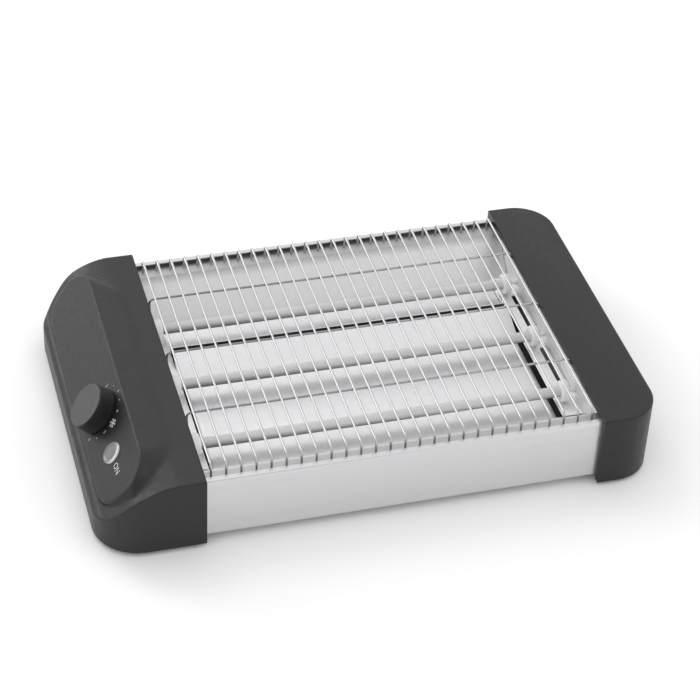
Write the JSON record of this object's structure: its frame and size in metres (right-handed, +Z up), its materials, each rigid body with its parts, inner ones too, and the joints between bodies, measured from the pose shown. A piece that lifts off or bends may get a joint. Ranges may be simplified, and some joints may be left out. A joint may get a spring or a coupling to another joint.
{
  "type": "flat toaster",
  "caption": "Low flat toaster: an open chrome wire grill over quartz heating tubes in a bright steel trough, between dark moulded end caps, with a tilted timer panel.",
  "frame": {"origin": "centre of the bounding box in plan, at the underside of the feet", "axes": "+X along the length, from the control housing to the plain cap; +Y to the rear, where the crumb tray and the cord gland are; +Z up"},
  "size_m": [0.3846, 0.255, 0.066],
  "materials": {
    "panel_steel": "satin stainless sheet",
    "inner_steel": "bright plated sheet",
    "reflector_sheet": "bright rolled reflector sheet",
    "grill_chrome": "bright chromed wire",
    "quartz": "translucent quartz tube",
    "heating_coil": "dark oxidised resistance coil",
    "ceramic": "white unglazed steatite",
    "bus_brass": "plain",
    "housing_plastic": "fine matt dark grey moulding",
    "cover_plastic": "matt black moulding",
    "screw_steel": "zinc plated",
    "foot_rubber": "matt black",
    "timer_case": "plain moulded case",
    "shaft_steel": "turned",
    "knob_plastic": "matt dark grey with a knurled side",
    "lens_clear": "clear smoked lens",
    "lamp_plastic": "natural nylon",
    "gland_plastic": "matt black"
  },
  "bodies": {
    "frame": {"front_panel": "panel_steel", "rear_panel": "panel_steel", "left_end_plate": "inner_steel", "right_end_plate": "inner_steel", "base_plate": "inner_steel", "rear_reflector": "reflector_sheet", "front_reflector": "reflector_sheet", "grill_wires": "grill_chrome", "cross_wire_rear": "grill_chrome", "cross_wire_middle": "grill_chrome", "cross_wire_front": "grill_chrome", "tube_rear": "quartz", "tube_middle": "quartz", "tube_front": "quartz", "element_rear": "heating_coil", "element_middle": "heating_coil", "element_front": "heating_coil", "bush_left_rear": "ceramic", "bush_left_middle": "ceramic", "bush_left_front": "ceramic", "bush_right_rear": "ceramic", "bush_right_middle": "ceramic", "bush_right_front": "ceramic", "bus_bar_left": "bus_brass", "bus_bar_right": "bus_brass", "left_end_cap": "housing_plastic", "right_end_cap": "housing_plastic", "left_cover": "cover_plastic", "right_cover": "cover_plastic", "left_screws": "screw_steel", "right_screws": "screw_steel", "foot_left_rear": "foot_rubber", "foot_left_front": "foot_rubber", "foot_right_rear": "foot_rubber", "foot_right_front": "foot_rubber", "timer_body": "timer_case", "pilot_lens": "lens_clear", "lamp_holder": "lamp_plastic", "cord_gland": "gland_plastic"},
    "timer": {"timer_knob": "knob_plastic", "timer_shaft": "shaft_steel"},
    "tray": {"crumb_tray": "inner_steel", "tray_plate": "inner_steel"}
  },
  "joints": [
    {"name": "timer_turn", "type": "hinge", "parent": "frame", "child": "timer", "pos_m": [-0.17201, -0.0318, 0.04538], "axis": [0.766, 0, -0.6428], "range_deg": [0, 290]},
    {"name": "tray_slide", "type": "slide", "parent": "frame", "child": "tray", "axis": [0, 1, 0], "range_m": [0, 0.2]}
  ]
}
